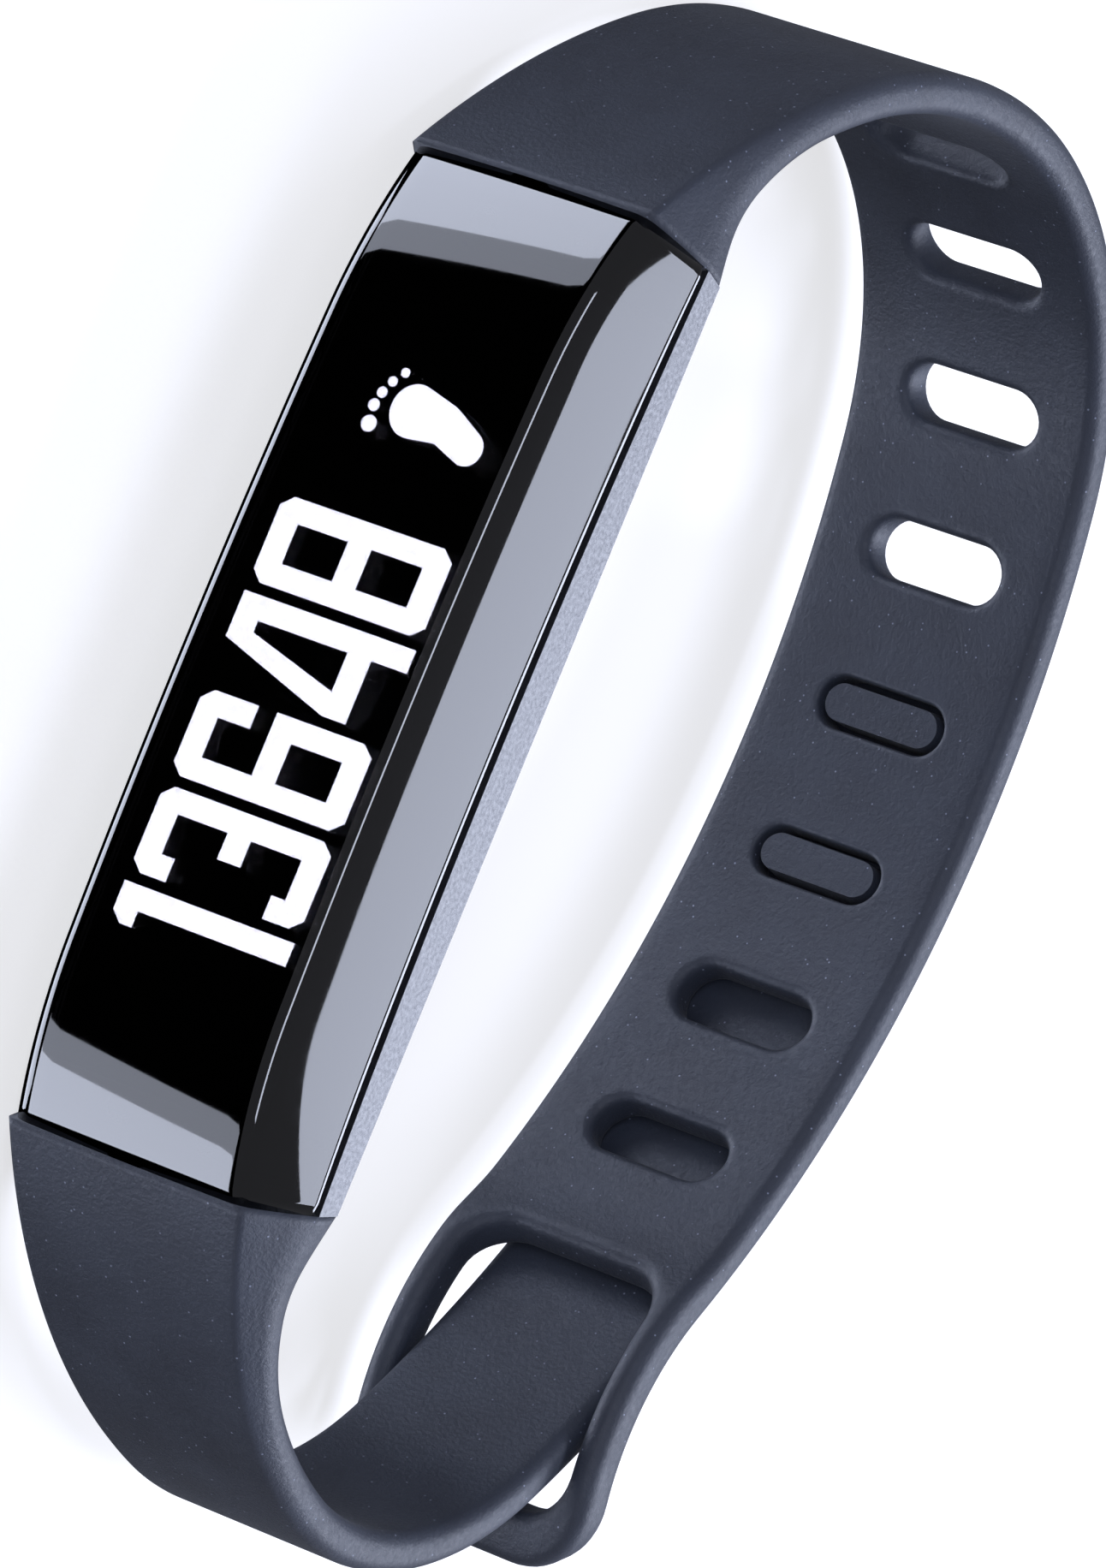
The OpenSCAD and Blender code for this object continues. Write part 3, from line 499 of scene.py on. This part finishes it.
# The loop: one patch with a large rounded opening, its outer corners rounded.
side_start = slot_s[-1] + slot_pitch / 2
loop_end = loop_s + 13.9 - edge_round
corner = 3.0
straight = np.linspace(side_start, loop_end - corner, 28)
sweep = np.linspace(0, np.pi / 2, 14)[1:]
right_side = np.concatenate([np.stack([straight, inset_half + 0 * straight], -1),
                             np.stack([loop_end - corner + corner * np.sin(sweep),
                                       inset_half - corner + corner * np.cos(sweep)], -1)])
middle = np.linspace(inset_half - corner, corner - inset_half, 14)[1:-1]
left_side = (right_side * np.array([1, -1]))[::-1]
outline = np.concatenate([right_side, np.stack([loop_end + 0 * middle, middle], -1), left_side])
normal = np.concatenate([np.stack([0 * straight, 1 + 0 * straight], -1),
                         np.stack([np.sin(sweep), np.cos(sweep)], -1), np.stack([1 + 0 * middle, 0 * middle], -1)])
normal = np.concatenate([normal, (normal[:len(right_side)] * np.array([1, -1]))[::-1]])
z = inset_half * across
boundary = np.concatenate([np.stack([side_start + 0 * z, z], -1), outline[1:-1]])
centre = np.array([loop_s + 5.55, 0.0])
opening = rounded_box(5.85, 5.35, 2.3, centre)
slot_grids += holed_cell(boundary, centre, opening, 0.68, loop_thick)
slot_grids.append((edge_strip(outline, normal, loop_thick(outline[:, 0])), False))


def close_end(points, faces, path, s, root):
    """Adds the flat face that closes a strap at s, from its section's outline."""
    grids = [g for g, _ in plain_run(np.array([s, s]), *root)]
    loop = np.concatenate([grids[0][0], grids[3][0][1:], grids[1][0][::-1][1:], grids[2][0][::-1][1:-1]])
    ring = on_strap(path, loop[:, 0], loop[:, 1], loop[:, 2])
    return np.concatenate([points, ring]), faces + [list(range(len(points), len(points) + len(ring)))]


points, faces = pointed(slot_grids, slot_path)
points, faces = close_end(points, faces, slot_path, 0.0, slot_root)
slotted_strap = make_piece("slotted_strap", points, faces, silicone, "module")
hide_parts("slot_strap")

# The pegged strap: the same silicone, drawn in to a narrow strip that passes under the loop's bar and out
# through its opening. Its free tail lies on the slotted strap and peels away from it, so it is cut into
# three pieces.
tail_radius = 56.2
tail_from = 60  # angle on the tail's circle where its arc starts
peg_path = trace((module_half, end_depth, 33), [(28, 42), (15.917, 65), (64.715, 10), (tail_radius, 37.8)], 1)
narrow_half = 5.15
peg_root = (narrow_half, 27, 22)
tail_s = peg_path[0][3, 5]


def at_angle(angle):
    """Distance along the strap of a point at an angle on the tail's circle."""
    return tail_s + np.radians(angle - tail_from) * (tail_radius - half_thick)


def bend_across(piece, parent, child, angle):
    """Bakes a piece's placement into its mesh; the points 1.5 mm each side of the hinge at an angle on the tail are
    worked out but not used, and nothing is bent.
    """
    ends = [on_strap(peg_path, at_angle(angle) + d, 0.0, 1.0) / 1000 + crown_point for d in (-1.5, 1.5)]
    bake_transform(piece)


ends = [0.0, at_angle(64), at_angle(70)]
for name, (s0, s1), nodes, bodies, hinge in (
        ("pegged_strap", (ends[0], ends[1]), ("peg_strap", "tail_link_1"), ("module", "tail_1"), 61),
        ("tail_middle", (ends[1], ends[2]), ("tail_link_2",), ("tail_1", "tail_2"), 67)):
    stations = np.linspace(s0, s1, int((s1 - s0) / 0.45) + 2)
    points, faces = pointed(plain_run(stations, *peg_root), peg_path)
    for s in (s0, s1):
        points, faces = close_end(points, faces, peg_path, s, peg_root)
    strap = make_piece(name, points, faces, silicone)
    bend_across(strap, *bodies, hinge)
    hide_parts(*nodes)

# The tip of the tail is rounded in plan: its last rows of points end on the rounded outline.
tip_s = at_angle(97.8) - edge_round
tip_half = narrow_half - edge_round
tip_corner = 3.3
stations = np.linspace(0, 1, 60)[:, None]
z = tip_half * across[None, :]
reach = np.clip(np.abs(z) - tip_half + tip_corner, 0, tip_corner)
end_line = tip_s - tip_corner + np.sqrt(tip_corner ** 2 - reach ** 2)
s_grid = ends[2] + stations * (end_line - ends[2])
zz = z + 0 * s_grid
face = np.stack([s_grid, zz, 0 * s_grid], -1)
inner_face = np.stack([s_grid, zz, thickness(s_grid)], -1)
tip_line = np.stack([end_line[0], z[0]], -1)
lean = np.arcsin(np.clip(reach[0] / tip_corner, 0, 1)) * np.sign(z[0])
side_s = s_grid[:, 0]
line = np.concatenate([np.stack([side_s, -tip_half + 0 * side_s], -1), tip_line[1:-1],
                       np.stack([side_s, tip_half + 0 * side_s], -1)[::-1]])
normal = np.concatenate([np.stack([0 * side_s, -1 + 0 * side_s], -1),
                         np.stack([np.cos(lean), np.sin(lean)], -1)[1:-1],
                         np.stack([0 * side_s, 1 + 0 * side_s], -1)])
tip_grids = [(face, False), (inner_face, False), (edge_strip(line, normal, thickness(line[:, 0])), False)]
points, faces = pointed(tip_grids, peg_path)
points, faces = close_end(points, faces, peg_path, ends[2], peg_root)
tail_tip = make_piece("tail_tip", points, faces, silicone)
bend_across(tail_tip, "tail_2", "tail_3", 73)
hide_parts("tail_end")


def give(node, finish):
    """Gives a carried-over node its material."""
    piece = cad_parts[node]
    piece.data.materials.clear()
    piece.data.materials.append(finish)


# The peg plate inside the tail is moulded in the same silicone.
give("peg_plate", silicone)

# The lower housing: ABS, injection moulded and lightly textured, seated against the wrist.
textured_abs, tree = material("textured_abs")
place = add(tree, "ShaderNodeTexCoord")
# Spark-eroded mould texture, about 0.2 mm between peaks.
texture = add(tree, "ShaderNodeTexNoise", Vector=place.outputs["Object"], Scale=5000.0, Detail=3.0)
bump = add(tree, "ShaderNodeBump", Height=texture, Strength=0.2, Distance=0.00004)
rough = add(tree, "ShaderNodeMapRange", Value=texture, From_Min=0.3, From_Max=0.7, To_Min=0.3, To_Max=0.42)
finish_material(tree, add(tree, "ShaderNodeBsdfPrincipled", Base_Color=linear("#262a38"), Roughness=rough, IOR=1.54,
                          Normal=bump))
give("bottom_cover", textured_abs)

# The lit digits and icon: cells of the display that give off white light.
lit_cells, tree = material("lit_cells")
place = add(tree, "ShaderNodeTexCoord")
cell = add(tree, "ShaderNodeTexNoise", Vector=place.outputs["Object"], Scale=3000.0)
rough = add(tree, "ShaderNodeMapRange", Value=cell, To_Min=0.45, To_Max=0.55)
finish_material(tree, add(tree, "ShaderNodeBsdfPrincipled", Base_Color=linear("#ffffff"), Roughness=rough,
                          Emission_Color=linear("#ffffff"), Emission_Strength=700.0))
give("display_readout", lit_cells)


def plain_finish(name, colour, roughness, metallic, scale, depth):
    """Finish of an inner part: one colour that varies a little, with a fine grain in gloss and height."""
    finish, tree = material(name)
    place = add(tree, "ShaderNodeTexCoord")
    grain = add(tree, "ShaderNodeTexNoise", Vector=place.outputs["Object"], Scale=scale, Detail=3.0)
    base = add(tree, "ShaderNodeMix", {"data_type": "RGBA"}, _0=grain, _6=linear(colour),
               _7=tuple(c * 0.8 for c in linear(colour)[:3]) + (1,))
    rough = add(tree, "ShaderNodeMapRange", Value=grain, To_Min=roughness - 0.05, To_Max=roughness + 0.05)
    bump = add(tree, "ShaderNodeBump", Height=grain, Strength=0.2, Distance=depth)
    finish_material(tree, add(tree, "ShaderNodeBsdfPrincipled", Base_Color=base.outputs[2], Roughness=rough,
                              Metallic=metallic, Normal=bump))
    return finish


# What the covers hide and what sits in the wrist face, each in the finish of its real material.
for finish, nodes in (
        (plain_finish("display_glass", "#0c0d12", 0.12, 0.0, 900, 0.00001), ("oled_panel",)),
        (plain_finish("black_frame", "#15161a", 0.5, 0.0, 3000, 0.00003), ("oled_frame", "contact_insulator")),
        (plain_finish("polyimide_film", "#b06a1e", 0.35, 0.0, 1500, 0.00001), ("oled_flex",)),
        (plain_finish("solder_mask", "#1d5b39", 0.35, 0.0, 2500, 0.00002), ("circuit_board",)),
        (plain_finish("epoxy_package", "#1b1c20", 0.55, 0.0, 6000, 0.00002),
         ("processor_chip", "radio_chip", "memory_chip", "motion_sensor")),
        (plain_finish("nickel_can", "#c8cacd", 0.25, 1.0, 2500, 0.00001), ("clock_crystal",)),
        (plain_finish("white_ceramic", "#d9d5c6", 0.5, 0.0, 2500, 0.00002),
         ("bluetooth_antenna", "battery_connector")),
        (plain_finish("battery_foil", "#c3c5c9", 0.3, 1.0, 600, 0.00004), ("battery",)),
        (plain_finish("black_foam", "#2b2c30", 0.95, 0.0, 4000, 0.0001), ("battery_foam",)),
        (plain_finish("seal_rubber", "#1a1c20", 0.7, 0.0, 3000, 0.00003), ("cover_gasket",)),
        (plain_finish("gold_plate", "#e2b45c", 0.2, 1.0, 4000, 0.00001), ("charging_contacts",)),
        (plain_finish("stainless_steel", "#b9bcc0", 0.28, 1.0, 5000, 0.00001),
         ("case_screws", "strap_pins", "motor_case", "motor_lid", "motor_shaft")),
        (plain_finish("sintered_tungsten", "#77756f", 0.45, 1.0, 5000, 0.00003), ("motor_rotor",)),
        (plain_finish("glass_filled_nylon", "#22252d", 0.5, 0.0, 3500, 0.00003),
         ("slot_strap_tongue", "peg_strap_tongue"))):
    for node in nodes:
        give(node, finish)
